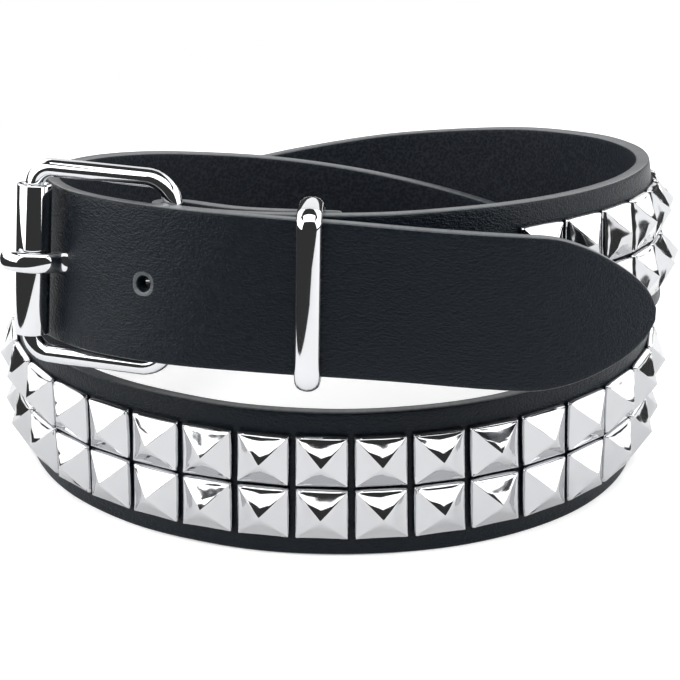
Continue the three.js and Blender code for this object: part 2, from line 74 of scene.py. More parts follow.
STUD_SIDE = 13.6
STUD_HEIGHT = 13.75
STUD_COLUMN_PITCH = 14.48
STUD_ROW_PITCH = 13.95
STUD_TOP_MARGIN = 5.5
STUD_COLUMNS = 52
FIRST_STUD = 89.8

WIRE_DIAMETER = 4.7
FRAME_REACH = 36.8
FRAME_HEIGHT = 46.3
FRAME_RISE = 1.1
FRAME_TILT = math.radians(0.4)
BAR_CORNER_RADIUS = 7
ROLLER_CORNER_RADIUS = 5
FRAME_SWING = math.radians(7.3)
ROLLER_RADIUS = 4.3
ROLLER_OVERHANG = 0.6
PRONG_WIDTH = 5.2
PRONG_THICKNESS = 2.4

KEEPER_FROM_BAR = 37.8
KEEPER_BAND_WIDTH = 6.3
KEEPER_THICKNESS = 2.4
KEEPER_CORNER_RADIUS = 2.4
KEEPER_EDGE_GAP = 1
KEEPER_DROP = 0.5
KEEPER_TILT = math.radians(-1.3)
print("the strap is", round(TIP_END + FOLD_LENGTH), "mm long, without the bend of its fold")

# %% [markdown]
# ## The route of the strap
#
# The strap's outer face is followed at mid height, every 40 degrees of winding. A natural
# cubic spline joins the rows, because leather bends evenly and has no corners. Length is then
# counted along the route, so that a place on the flat strap has one place on the coil.

# %% The route as a table
# The middle of the footprint is the origin, and this is where the coil's axis then stands
COIL_AXIS = np.array([5.059, 9.434, 0])
COIL_RADIUS = 90
FIRST_TURN = -40
TURN_STEP = 40
BAR_TURN = -31

# reach as a share of the radius, rise as a share of the width, lean in degrees
ROUTE = [
    (1.04, 1.87, 13), (0.983, 1.905, 6), (0.924, 1.79, 7), (0.9, 1.58, 7), (0.844, 1.313, 1),
    (0.807, 1.063, -4), (0.837, 0.856, -2), (0.93, 0.656, -4), (1.016, 0.51, -3),
    (0.972, 0.511, 3), (0.928, 0.511, 4), (0.923, 0.503, 2), (0.868, 0.514, -7),
    (0.676, 0.67, -8), (0.532, 0.88, -3), (0.509, 1.068, -1), (0.63, 1.279, 0),
    (0.898, 1.586, 4), (1.034, 1.893, 12), (0.998, 1.9, 5), (1.16, 1.678, 7),
]
# The last rows lie on the first turn, one layer further out
LAYERED_ROWS = 3


def even_spline(values, at):
    """Natural cubic spline through evenly spaced values, straight beyond its ends."""
    count = len(values)
    system = 4 * np.eye(count) + np.eye(count, k=1) + np.eye(count, k=-1)
    system[0], system[-1] = np.eye(count)[0], np.eye(count)[-1]
    pull = np.zeros(count)
    pull[1:-1] = 6 * (values[:-2] - 2 * values[1:-1] + values[2:])
    bend = np.linalg.solve(system, pull)
    i = np.clip(np.floor(at).astype(int), 0, count - 2)
    b = np.clip(at - i, 0, 1)
    a = 1 - b
    inside = a * values[i] + b * values[i + 1]
    inside += ((a ** 3 - a) * bend[i] + (b ** 3 - b) * bend[i + 1]) / 6
    end_slope = values[-1] - values[-2] + bend[-2] / 6
    return inside + (at - i - b) * end_slope


def route_points(turns):
    """Points of the strap's outer face at mid height, for turns in degrees."""
    rows = np.array(ROUTE, float)
    reach = rows[:, 0] * COIL_RADIUS
    reach[-LAYERED_ROWS:] += STRAP_THICKNESS + SEAT_GAP
    at = (turns - FIRST_TURN) / TURN_STEP
    radius = even_spline(reach, at)
    height = even_spline(rows[:, 1] * STRAP_WIDTH, at) - RESTING_SINK
    angle = np.radians(turns)
    flat = np.stack([radius * np.sin(angle), -radius * np.cos(angle), height], axis=1)
    return flat + COIL_AXIS


def unit(vectors):
    """Vectors of length one."""
    return vectors / np.linalg.norm(vectors, axis=-1, keepdims=True)


# %% Places along the route
turns = np.arange(BAR_TURN, FIRST_TURN + TURN_STEP * (len(ROUTE) + 1), 1.0)
route = route_points(turns)
route_along = unit(route_points(turns + 0.5) - route_points(turns - 0.5))
level = unit(np.cross(route_along, [0, 0, 1]))
upright = np.cross(level, route_along)
lean_rows = np.array([row[2] for row in ROUTE], float)
lean = np.radians(even_spline(lean_rows, (turns - FIRST_TURN) / TURN_STEP))[:, None]
route_up = upright * np.cos(lean) - level * np.sin(lean)
route_out = level * np.cos(lean) + upright * np.sin(lean)
steps = np.linalg.norm(np.diff(route, axis=0), axis=1)
route_length = np.concatenate([[0], np.cumsum(steps)])


def along_route(length, values):
    """Looks up a vector for each length along the route."""
    return np.stack([np.interp(length, route_length, values[:, k]) for k in range(3)], axis=-1)


def spot(length):
    """Point, along, out and up at each length from the pivot bar."""
    point = along_route(length, route)
    return point, *(unit(along_route(length, v)) for v in (route_along, route_out, route_up))


WIRE_RADIUS = WIRE_DIAMETER / 2
FOLD_RADIUS = WIRE_RADIUS + SEAT_GAP + STRAP_THICKNESS
FOLD_ARC = math.pi * FOLD_RADIUS
bar_point, bar_along, bar_out, bar_up = spot(0.0)
bar_centre = bar_point - FOLD_RADIUS * bar_out
print("two turns of the strap take", round(np.interp(690, turns, route_length)), "mm")

# %% [markdown]
# ## Winding flat work up
#
# Flat work lies with its length along X, its width along Y and its thickness along Z. X counts
# from the pivot bar. The end that is folded back has a negative X: first half a circle round
# the bar, then a layer that lies behind the first turn and is pared thin at its end.


# %% Wind flat work round the route
def wound(flat):
    """Places of flat points on the wound belt, in millimetres."""
    length, across, out = flat[:, 0], flat[:, 1:2], flat[:, 2:3]
    point, _, outward, upward = spot(np.clip(length, 0, None))
    on_run = point + across * upward + out * outward

    angle = np.clip(-length / FOLD_RADIUS, 0, math.pi)[:, None]
    round_bar = np.cos(angle) * bar_out - np.sin(angle) * bar_along
    on_fold = bar_centre + across * bar_up + (FOLD_RADIUS + out) * round_bar

    back = np.clip(-length - FOLD_ARC, 0, None)
    point, _, outward, upward = spot(back)
    pared = np.clip((FOLD_LENGTH - back) / SKIVED_LENGTH, 0, 1)[:, None]
    thickness = SKIVED_THICKNESS + (STRAP_THICKNESS - SKIVED_THICKNESS) * pared
    closing = np.clip(1 - back / FOLD_CLOSING_LENGTH, 0, None)[:, None]
    opening = SEAT_GAP * (1 + closing) + WIRE_DIAMETER * closing ** 2 * (3 - 2 * closing)
    depth = STRAP_THICKNESS + opening + thickness
    depth += out * thickness / STRAP_THICKNESS
    on_back = point + across * upward - depth * outward

    length = length[:, None]
    placed = np.where(length >= 0, on_run, np.where(length > -FOLD_ARC, on_fold, on_back))
    # The surface that the belt stands on presses its lowest edge flat
    placed[:, 2] = np.clip(placed[:, 2], 0, None)
    return placed


def wind(bm):
    """Bends flat work in millimetres round the route, in metres."""
    placed = wound(np.array([v.co[:] for v in bm.verts])) * MM
    for vert, place in zip(bm.verts, placed):
        vert.co = place


def finish_piece(name, bm, materials, levels=0):
    """Makes an object of a mesh that is in its place, with smooth shading."""
    mesh = bpy.data.meshes.new(name)
    for face in bm.faces:
        face.smooth = True
    bm.to_mesh(mesh)
    bm.free()
    for material in materials:
        mesh.materials.append(material)
    piece = bpy.data.objects.new(name, mesh)
    bpy.context.scene.collection.objects.link(piece)
    if levels:
        smooth = piece.modifiers.new("Smooth", "SUBSURF")
        smooth.levels = smooth.render_levels = levels
    print(name, "has", len(mesh.polygons), "faces before smoothing")
    return piece


# %% [markdown]
# ## Effects that several materials share
#
# Fine unevenness in gloss is on every real surface, leather and plated metal alike. It is a node
# group, so each material takes it with its own scale and amount. The second group is the
# grain of leather, which the face, the lining and the cut edge show with different strengths.


# %% Helpers for materials
def put(tree, kind, values=None, **settings):
    """Adds a node, with values for its sockets by name."""
    made = tree.nodes.new(kind)
    for name, value in settings.items():
        setattr(made, name, value)
    for name, value in (values or {}).items():
        made.inputs[name].default_value = value
    return made


def join(tree, start, end):
    """Links an output socket to an input socket."""
    tree.links.new(start, end)


def group_sockets(group, takes, gives):
    """Names the sockets of a node group, with the values they start from."""
    for name, (kind, value) in takes.items():
        made = group.interface.new_socket(name, in_out="INPUT", socket_type=kind)
        if value is not None:
            made.default_value = value
    for name, kind in gives.items():
        group.interface.new_socket(name, in_out="OUTPUT", socket_type=kind)
    return group.nodes.new("NodeGroupInput"), group.nodes.new("NodeGroupOutput")


VALUE = "NodeSocketFloat"
VECTOR = "NodeSocketVector"


# %% The uneven gloss group
def make_uneven_gloss():
    """A roughness that varies softly round a middle value."""
    group = bpy.data.node_groups.new("Uneven gloss", "ShaderNodeTree")
    takes = {
        "Place": (VECTOR, None),
        "Scale": (VALUE, 60.0),
        "Roughness": (VALUE, 0.3),
        "Spread": (VALUE, 0.1),
    }
    start, end = group_sockets(group, takes, {"Roughness": VALUE})
    cloud = put(group, "ShaderNodeTexNoise", {"Detail": 5.0, "Roughness": 0.6})
    join(group, start.outputs["Place"], cloud.inputs["Vector"])
    join(group, start.outputs["Scale"], cloud.inputs["Scale"])
    centred = put(group, "ShaderNodeMath", operation="SUBTRACT")
    centred.inputs[1].default_value = 0.5
    join(group, cloud.outputs["Fac"], centred.inputs[0])
    spread = put(group, "ShaderNodeMath", operation="MULTIPLY_ADD", use_clamp=True)
    join(group, centred.outputs[0], spread.inputs[0])
    join(group, start.outputs["Spread"], spread.inputs[1])
    join(group, start.outputs["Roughness"], spread.inputs[2])
    join(group, spread.outputs[0], end.inputs["Roughness"])
    return group


uneven_gloss = make_uneven_gloss()
print("group", uneven_gloss.name)


# %% The leather grain group
def make_leather_grain():
    """Pebbles of grain that run together into ripples drawn out along the strap."""
    group = bpy.data.node_groups.new("Leather grain", "ShaderNodeTree")
    takes = {
        "Place": (VECTOR, None),
        "Pebbles": (VALUE, 700.0),
        "Ripples": (VALUE, 0.5),
    }
    start, end = group_sockets(group, takes, {"Height": VALUE, "Valley": VALUE})
    wander = put(group, "ShaderNodeTexNoise", {"Scale": 240.0, "Detail": 2.0})
    join(group, start.outputs["Place"], wander.inputs["Vector"])
    shift = put(group, "ShaderNodeVectorMath", operation="MULTIPLY_ADD")
    shift.inputs[1].default_value = (0.0012, 0.0012, 0.0012)
    join(group, wander.outputs["Color"], shift.inputs[0])
    join(group, start.outputs["Place"], shift.inputs[2])

    pebbles = put(group, "ShaderNodeTexVoronoi", {"Smoothness": 0.6}, feature="SMOOTH_F1")
    join(group, shift.outputs[0], pebbles.inputs["Vector"])
    join(group, start.outputs["Pebbles"], pebbles.inputs["Scale"])
    dome = put(group, "ShaderNodeMapRange", {"From Max": 0.75, "To Min": 1.0, "To Max": 0.0})
    join(group, pebbles.outputs["Distance"], dome.inputs["Value"])

    ripple = put(group, "ShaderNodeTexNoise", {"Scale": 2200.0, "Detail": 3.0})
    stretch = put(group, "ShaderNodeMapping")
    stretch.inputs["Scale"].default_value = (0.35, 1.0, 1.0)
    join(group, shift.outputs[0], stretch.inputs["Vector"])
    join(group, stretch.outputs["Vector"], ripple.inputs["Vector"])
    blend = put(group, "ShaderNodeMix")
    join(group, start.outputs["Ripples"], blend.inputs["Factor"])
    join(group, dome.outputs["Result"], blend.inputs["A"])
    join(group, ripple.outputs["Fac"], blend.inputs["B"])
    join(group, blend.outputs["Result"], end.inputs["Height"])
    valley = put(group, "ShaderNodeMapRange", {"From Min": 0.55, "From Max": 0.2})
    join(group, blend.outputs["Result"], valley.inputs["Value"])
    join(group, valley.outputs["Result"], end.inputs["Valley"])
    return group


leather_grain = make_leather_grain()
print("group", leather_grain.name)

# %% [markdown]
# ## Leather
#
# The face is black with a little blue in it, and its fine rippled grain is what catches the
# light. The pattern follows the strap, so it reads the strap's own map of flat millimetres. The
# lining is duller and speckled. The cut edge is smoother and a bit glossier, and its greyer colour
# is partly its own and partly a painted reflection of the bright backdrop it catches edge-on.


# %% Leather materials
def make_leather(name, colour, valley_colour, sheen, roughness, spread, pebbles, ripples, bump):
    """A leather finish. Colour and gloss vary with the grain, and bump is in millimetres."""
    material = bpy.data.materials.new(name)
    material.use_nodes = True
    tree = material.node_tree
    shader = tree.nodes["Principled BSDF"]
    shader.inputs["IOR"].default_value = 1.5
    shader.inputs["Specular IOR Level"].default_value = sheen
    place = put(tree, "ShaderNodeUVMap", uv_map="flat")

    grain = put(tree, "ShaderNodeGroup", node_tree=leather_grain)
    grain.inputs["Pebbles"].default_value = pebbles
    grain.inputs["Ripples"].default_value = ripples
    join(tree, place.outputs["UV"], grain.inputs["Place"])
    tint = put(tree, "ShaderNodeMix", data_type="RGBA")
    tint.inputs["A"].default_value = (*colour, 1)
    tint.inputs["B"].default_value = (*valley_colour, 1)
    join(tree, grain.outputs["Valley"], tint.inputs["Factor"])
    join(tree, tint.outputs["Result"], shader.inputs["Base Color"])

    gloss = put(tree, "ShaderNodeGroup", node_tree=uneven_gloss)
    gloss.inputs["Scale"].default_value = 90.0
    gloss.inputs["Roughness"].default_value = roughness
    gloss.inputs["Spread"].default_value = spread
    join(tree, place.outputs["UV"], gloss.inputs["Place"])
    join(tree, gloss.outputs["Roughness"], shader.inputs["Roughness"])

    raised = put(tree, "ShaderNodeBump", {"Strength": 1.0, "Distance": bump * MM})
    join(tree, grain.outputs["Height"], raised.inputs["Height"])
    join(tree, raised.outputs["Normal"], shader.inputs["Normal"])
    return material


leather_face = make_leather(
    "leather_face", (0.003, 0.0062, 0.0105), (0.002, 0.004, 0.007), 0.18, 0.37, 0.1, 1900.0, 0.75, 0.32)
# The cut edge's grey is partly painted reflection, standing in for the bright backdrop it mirrors at a
# glancing angle
leather_edge = make_leather(
    "leather_edge", (0.07, 0.077, 0.083), (0.04, 0.044, 0.048), 0.5, 0.34, 0.2, 1400.0, 0.7, 0.05)
leather_lining = make_leather(
    "leather_lining", (0.003, 0.005, 0.009), (0.013, 0.016, 0.021), 0.18, 0.6, 0.15, 1300.0, 0.35, 0.12)
print("leather materials:", leather_face.name, leather_edge.name, leather_lining.name)

# %% [markdown]
# ## Chrome
#
# Buckle and keeper are cast and polished, so they are almost a mirror. The studs are pressed from thin
# sheet and plated afterwards: their faces keep soft waves from the press, which bend what
# they mirror. A low wide bump gives that, over the real hollows and dents in the mesh.


# %% Chrome materials
def make_chrome(name, colour, roughness, spread, wave_scale, wave_height):
    """A plated finish. The waves are soft and wide, and their height is in millimetres."""
    material = bpy.data.materials.new(name)
    material.use_nodes = True
    tree = material.node_tree
    shader = tree.nodes["Principled BSDF"]
    shader.inputs["Base Color"].default_value = (*colour, 1)
    shader.inputs["Metallic"].default_value = 1.0
    place = put(tree, "ShaderNodeTexCoord")
    gloss = put(tree, "ShaderNodeGroup", node_tree=uneven_gloss)
    gloss.inputs["Scale"].default_value = 220.0
    gloss.inputs["Roughness"].default_value = roughness
    gloss.inputs["Spread"].default_value = spread
    join(tree, place.outputs["Object"], gloss.inputs["Place"])
    join(tree, gloss.outputs["Roughness"], shader.inputs["Roughness"])
    waves = put(tree, "ShaderNodeTexNoise", {"Scale": wave_scale, "Detail": 1.0})
    join(tree, place.outputs["Object"], waves.inputs["Vector"])
    raised = put(tree, "ShaderNodeBump", {"Strength": 1.0, "Distance": wave_height * MM})
    join(tree, waves.outputs["Fac"], raised.inputs["Height"])
    join(tree, raised.outputs["Normal"], shader.inputs["Normal"])
    return material


chrome = make_chrome("polished_chrome", (0.60, 0.61, 0.625), 0.045, 0.04, 60.0, 0.04)
stud_chrome = make_chrome("pressed_chrome", (0.52, 0.525, 0.54), 0.08, 0.06, 160.0, 0.2)
print("chrome materials:", chrome.name, stud_chrome.name)

# %% [markdown]
# ## The strap
#
# The strap starts as a grid of squares. Each hole is a block of four squares that is taken out and
# joined to three rings, so the leather round it can be pressed in a little, as a punch does. One
# extrusion then gives the thickness, and a bevel along every edge gives the rounded cut.

# %% A flat sheet with a point
GRID_STEP = HOLE_SPACING / 4
GRID_COLUMNS = 6
TIP_COLUMNS = 8
BODY_END = TIP_END - TIP_LENGTH
left_cells = math.floor((PRONG_HOLE + FOLD_ARC + FOLD_LENGTH) / GRID_STEP)
right_cells = math.floor((BODY_END - PRONG_HOLE) / GRID_STEP)
body_cells = left_cells + right_cells


def line_place(index):
    """Length at which a line across the grid lies."""
    if index == 0:
        return -FOLD_ARC - FOLD_LENGTH
    if index <= body_cells:
        return PRONG_HOLE + (index - left_cells) * GRID_STEP
    share = 1 - (index - body_cells) / TIP_COLUMNS
    return TIP_END - TIP_LENGTH * share ** 2


def half_width(length):
    """Half the strap's width. The point narrows as a parabola."""
    share = math.sqrt(min(1, max(0, (TIP_END - length) / TIP_LENGTH)))
    return max(TIP_BLUNT_HALF, STRAP_WIDTH / 2 * share)


strap = bmesh.new()
bmesh.ops.create_grid(strap, x_segments=body_cells + TIP_COLUMNS, y_segments=GRID_COLUMNS, size=1)
for vert in strap.verts:
    line = round((vert.co.x + 1) / 2 * (body_cells + TIP_COLUMNS))
    vert.co.x = line_place(line)
    vert.co.y *= half_width(vert.co.x)
print("flat sheet:", len(strap.faces), "squares")


# %% Punch the holes
HOLE_POINTS = 8
DIMPLE_DEPTH = 0.3
# Rings from the sheet to the opening, as shares of the hole's radius
RIM_TOP, RIM_FOOT, OPENING = 1.15, 1.02, 0.85
PRONG_HOLE_SHIFT = 1.5


def in_order(verts, middle):
    """A ring's points in order round a place, so that one ring can be joined to the next."""
    def number(vert):
        share_of_turn = math.atan2(vert.co.y, vert.co.x - middle) / (2 * math.pi)
        return round(HOLE_POINTS * share_of_turn) % HOLE_POINTS
    return sorted(verts, key=number)


def punch(bm, length, middle, radius, dimple):
    """Takes four squares out at a length and joins the gap to a hole with a pressed-in rim."""
    reach = GRID_STEP * 1.2
    block = [f for f in bm.faces
             if abs(f.calc_center_median().x - length) < reach and abs(f.calc_center_median().y) < reach]
    bmesh.ops.delete(bm, geom=block, context="FACES")
    ring = in_order([v for v in bm.verts if v.is_boundary
                     and abs(v.co.x - length) < reach and abs(v.co.y) < reach], length)
    for share, sunk in ((RIM_TOP, 0), (RIM_FOOT, dimple), (OPENING, dimple)):
        matrix = Matrix.Translation((middle, 0, -sunk))
        circle = bmesh.ops.create_circle(bm, segments=HOLE_POINTS, radius=share * radius, matrix=matrix)
        inner = in_order(circle["verts"], middle)
        for i in range(HOLE_POINTS):
            bm.faces.new((ring[i - 1], ring[i], inner[i], inner[i - 1]))
        ring = inner


HOLES = [PRONG_HOLE + i * HOLE_SPACING for i in (-3, -2, -1, 1)]
for hole in HOLES:
    punch(strap, hole, hole, HOLE_RADIUS, DIMPLE_DEPTH)
# The prong fills its own hole, and comes out of the leather a little nearer the roller
punch(strap, PRONG_HOLE, PRONG_HOLE - PRONG_HOLE_SHIFT, PRONG_THICKNESS / 2 + 0.2, 0)
print("punched", len(HOLES) + 1, "holes; open edges:", sum(e.is_boundary for e in strap.edges))

# %% Cut the slot for the prong
SLOT_HALF_WIDTH = 3.7
SLOT_START = -FOLD_ARC - 10
SLOT_END = 10
slot_squares = [f for f in strap.faces
                if SLOT_START < f.calc_center_median().x < SLOT_END
                and abs(f.calc_center_median().y) < STRAP_WIDTH / GRID_COLUMNS]
bmesh.ops.delete(strap, geom=slot_squares, context="FACES")
for vert in strap.verts:
    beside = SLOT_START - GRID_STEP < vert.co.x < SLOT_END + GRID_STEP
    if beside and vert.is_boundary and 0.1 < abs(vert.co.y) < STRAP_WIDTH / 3:
        vert.co.y = math.copysign(SLOT_HALF_WIDTH, vert.co.y)
print("slot made from", len(slot_squares), "squares")


# %% Give the sheet its thickness and rounded edges
OUTER_ROUNDING = 0.75
INNER_ROUNDING = 0.3
def sharp_edges(bm):
    """Edges where a broad face meets a cut."""
    return [e for e in bm.edges if len(e.link_faces) == 2 and e.calc_face_angle() > 1]


def near_opening(edge):
    """Whether an edge belongs to a hole or to the slot."""
    middle = (edge.verts[0].co + edge.verts[1].co) / 2
    if abs(middle.y) > 0.8 * half_width(middle.x) or abs(middle.x - TIP_END) < 2:
        return False
    return FOLD_ARC + FOLD_LENGTH + middle.x > 2


thick = bmesh.ops.extrude_face_region(strap, geom=strap.faces[:])
lower = [v for v in thick["geom"] if isinstance(v, bmesh.types.BMVert)]
bmesh.ops.translate(strap, verts=lower, vec=(0, 0, -STRAP_THICKNESS))
bmesh.ops.recalc_face_normals(strap, faces=strap.faces[:])
edges = sharp_edges(strap)
inner_edges = [e for e in edges if near_opening(e)]
outer_edges = [e for e in edges if not near_opening(e)]
print("edges to round:", len(outer_edges), "outside,", len(inner_edges), "inside")
bmesh.ops.bevel(strap, geom=outer_edges, offset=OUTER_ROUNDING, offset_type="OFFSET", segments=2,
                profile=0.5, affect="EDGES", material=-1)
inner_edges = [e for e in sharp_edges(strap) if near_opening(e)]
bmesh.ops.bevel(strap, geom=inner_edges, offset=INNER_ROUNDING, offset_type="OFFSET", segments=1,
                profile=0.5, affect="EDGES", material=-1)

# %% Map the flat sheet, then wind it
FACE, EDGE, LINING = 0, 1, 2
# How far from a hole's middle its wall reaches, and where a pale ring of the edge's finish lies, in radii
WALL_END = 0.83
PALE_RIM_BAND = (0.94, 1.04)
uv = strap.loops.layers.uv.new("flat")
for face in strap.faces:
    middle = face.calc_center_median()
    share = min(math.hypot(middle.x - hole, middle.y) for hole in HOLES) / HOLE_RADIUS
    if share < WALL_END:
        face.material_index = LINING
    elif abs(face.normal.z) < 0.6 or PALE_RIM_BAND[0] < share < PALE_RIM_BAND[1]:
        face.material_index = EDGE
    else:
        face.material_index = FACE if face.normal.z > 0 else LINING
    for loop in face.loops:
        loop[uv].uv = (loop.vert.co.x * MM, loop.vert.co.y * MM)


def soft_waves(bm, size, height):
    """Moves points a little in and out, in waves, as worked leather is never quite flat."""
    for vert in bm.verts:
        place = vert.co / size
        vert.co.z += height * noise.noise(place)
        vert.co.y += height * noise.noise(place + Vector((7, 3, 5)))


soft_waves(strap, 23, 0.22)
wind(strap)
strap_piece = finish_piece("belt_strap", strap, [leather_face, leather_edge, leather_lining], 2)
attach(strap_piece, "root")
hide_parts("strap")

# %% [markdown]
# ## The studs
#
# A stud is a square of sheet, pressed up to a point, with a low wall round it. A cube whose top is
# poked gives the pyramid. The walls are bevelled wide, as sheet can't turn a sharp corner, and the
# ridges narrow, because the press strikes them crisp, and a crease keeps them so when the rest is
# smoothed. Each face is sunk slightly.

# %% One stud, pressed from a cube
RIM_HEIGHT = 1.5
APEX_HEIGHT = 5.7
CORNER_ROUNDING = 0.7
RIM_ROUNDING = 0.9
RIDGE_ROUNDING = 0.14
FACE_SINK = 0.25
# A slope is any face larger than this, in square millimetres, that looks up
LEAST_SLOPE_AREA = 15


def press_stud():
    """One stud with its middle at the origin, standing on z = 0."""
    bm = bmesh.new()
    bmesh.ops.create_cube(bm, size=1)
    bmesh.ops.scale(bm, verts=bm.verts[:], vec=(STUD_SIDE, STUD_HEIGHT, RIM_HEIGHT))
    bmesh.ops.translate(bm, verts=bm.verts[:], vec=(0, 0, RIM_HEIGHT / 2))
    top = [f for f in bm.faces if f.normal.z > 0.5]
    bmesh.ops.poke(bm, faces=top, offset=APEX_HEIGHT - RIM_HEIGHT)
    upright_edges = [e for e in bm.edges if abs(e.verts[0].co.z - e.verts[1].co.z) > 1
                     and abs(e.verts[0].co.x - e.verts[1].co.x) < 1]
    bmesh.ops.bevel(bm, geom=upright_edges, offset=CORNER_ROUNDING, offset_type="OFFSET", segments=2,
                    profile=0.5, affect="EDGES", material=-1)
    return bm


one_stud = press_stud()
print("a stud starts with", len(one_stud.faces), "faces")

# %% Round its ridges and hollow its faces
crease = one_stud.edges.layers.float.new("crease_edge")
rim = [e for e in one_stud.edges if sum(f.normal.z > 0.5 for f in e.link_faces) == 1]
bmesh.ops.bevel(one_stud, geom=rim, offset=RIM_ROUNDING, offset_type="OFFSET", segments=2,
                profile=0.5, affect="EDGES", material=-1)
ridges = [e for e in one_stud.edges
          if all(f.normal.z > 0.5 and f.calc_area() > LEAST_SLOPE_AREA for f in e.link_faces)]
struck = bmesh.ops.bevel(one_stud, geom=ridges, offset=RIDGE_ROUNDING, offset_type="OFFSET", segments=1,
                         profile=0.5, affect="EDGES", material=-1)
for edge in {e for f in struck["faces"] for e in f.edges}:
    edge[crease] = 1.0
broad = [f for f in one_stud.faces if f.normal.z > 0.5 and f.calc_area() > LEAST_SLOPE_AREA]
bmesh.ops.inset_individual(one_stud, faces=broad, thickness=0.7, depth=-0.05)
bmesh.ops.poke(one_stud, faces=broad, offset=-FACE_SINK)
ridge_marks = [edge[crease] for edge in one_stud.edges]
master = bpy.data.meshes.new("one_stud")
one_stud.to_mesh(master)
one_stud.free()
print("a finished stud has", len(master.polygons), "faces, broad ones", len(broad))


# %% Set the studs in two rows
# The dents' noise starts at a chance place unless it is given a seed
noise.seed_set(4)


def set_studs(first, last):
    """A run of studs on the flat strap, each a little different, then wound with it."""
    field = bmesh.new()
    field.edges.layers.float.new("crease_edge")
    for column in range(first, last):
        for row in (0, 1):
            before, edges_before = len(field.verts), len(field.edges)
            field.from_mesh(master)
            field.verts.ensure_lookup_table()
            field.edges.ensure_lookup_table()
            new = field.verts[before:]
            crease = field.edges.layers.float["crease_edge"]
            for edge, mark in zip(field.edges[edges_before:], ridge_marks):
                edge[crease] = mark
            seed = Vector((column * 3.7, row * 9.1, 2.3))
            turn = Matrix.Rotation(math.radians(1.2 * noise.noise(seed)), 4, "Z")
            tip = Matrix.Rotation(math.radians(1.5 * noise.noise(seed * 1.3)), 4, "X")
            side = Matrix.Rotation(math.radians(1.5 * noise.noise(seed * 1.7)), 4, "Y")
            middle = Vector((
                FIRST_STUD + (column + 0.5) * STUD_COLUMN_PITCH,
                STRAP_WIDTH / 2 - STUD_TOP_MARGIN - (row + 0.5) * STUD_ROW_PITCH,
                -0.1,
            ))
            place = Matrix.Translation(middle) @ turn @ tip @ side
            bmesh.ops.transform(field, verts=new, matrix=place)
            for vert in new:
                dent = noise.noise_vector(vert.co * 0.28 + seed)
                vert.co += Vector((0.15 * dent.x, 0.15 * dent.y, 0.16 * dent.z))
    wind(field)
    return field


half_field = STUD_COLUMNS // 2
for number, name in enumerate(("first", "second")):
    studs = set_studs(number * half_field, (number + 1) * half_field)
    studs_piece = finish_piece("pyramid_studs_" + name, studs, [stud_chrome], 1)
    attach(studs_piece, "root")
    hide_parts("studs_" + name + "_turn")

# %% [markdown]
# ## Metal that is bent round
#
# The buckle's frame and the keeper are both one bar bent round four corners. A section is
# extruded along each side and spun round each corner until it meets itself. The same few lines do
# both, with a round section for the frame and a domed one for the keeper.


# %% Bend a bar round four corners
def bend_round(bm, section, width, height, near_corner, far_corner, corner_steps):
    """Runs a closed section at (width / 2, 0, 0) round a rectangle in the XZ plane."""
    near_up = height / 2 - near_corner
    far_up = height / 2 - far_corner
    level_run = width - near_corner - far_corner
    legs = (
        ((0, 0, near_up), (1, 1), near_corner),
        ((-level_run, 0, 0), (-1, 1), far_corner),
        ((0, 0, -2 * far_up), (-1, -1), far_corner),
        ((level_run, 0, 0), (1, -1), near_corner),
    )
    last = section
    for way, (side_x, side_z), corner in legs:
        for _ in range(2):
            run = bmesh.ops.extrude_edge_only(bm, edges=last)["geom"]
            moved = [v for v in run if isinstance(v, bmesh.types.BMVert)]
            bmesh.ops.translate(bm, verts=moved, vec=Vector(way) / 2)
            last = [e for e in run if isinstance(e, bmesh.types.BMEdge)
                    and all(v in set(moved) for v in e.verts)]
        centre = (side_x * (width / 2 - corner), 0, side_z * (height / 2 - corner))
        turned = bmesh.ops.spin(bm, geom=last, cent=centre, axis=(0, -1, 0), dvec=(0, 0, 0),
                                angle=math.pi / 2, steps=corner_steps)
        last = [e for e in turned["geom_last"] if isinstance(e, bmesh.types.BMEdge)]
    run = bmesh.ops.extrude_edge_only(bm, edges=last)["geom"]
    moved = [v for v in run if isinstance(v, bmesh.types.BMVert)]
    bmesh.ops.translate(bm, verts=moved, vec=(0, 0, near_up))
    bmesh.ops.remove_doubles(bm, verts=bm.verts[:], dist=0.01)
    bmesh.ops.recalc_face_normals(bm, faces=bm.faces[:])


def round_section(bm, sides, radius_x, radius_y, centre_x):
    """A closed loop of edges in the XY plane, where bend_round starts."""
    made = bmesh.ops.create_circle(bm, segments=sides, radius=1)
    bmesh.ops.scale(bm, verts=made["verts"], vec=(radius_x, radius_y, 1))
    bmesh.ops.translate(bm, verts=made["verts"], vec=(centre_x, 0, 0))
    return list({e for v in made["verts"] for e in v.link_edges})


def basis(x, y, z, origin):
    """Matrix that carries a piece's own axes to its place, from millimetres to metres."""
    matrix = Matrix((x, y, z)).transposed().to_4x4()
    matrix.translation = Vector(origin)
    return Matrix.Scale(MM, 4) @ matrix


# %% The buckle's frame
swung_along = -math.cos(FRAME_SWING) * bar_along + math.sin(FRAME_SWING) * bar_out
frame_out = np.cross(bar_up, swung_along)
frame_along = math.cos(FRAME_TILT) * swung_along + math.sin(FRAME_TILT) * bar_up
frame_up = np.cross(frame_along, frame_out)
buckle_place = basis(frame_along, frame_out, frame_up, bar_centre + FRAME_RISE * bar_up)

wire = bmesh.new()
wire_section = round_section(wire, 20, WIRE_RADIUS, WIRE_RADIUS, FRAME_REACH / 2)
bend_round(wire, wire_section, FRAME_REACH, FRAME_HEIGHT, ROLLER_CORNER_RADIUS, BAR_CORNER_RADIUS, 10)
bmesh.ops.translate(wire, verts=wire.verts[:], vec=(FRAME_REACH / 2, 0, 0))
wire.transform(buckle_place)
frame_piece = finish_piece("buckle_wire_frame", wire, [chrome])
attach(frame_piece, "root")
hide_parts("buckle_frame")

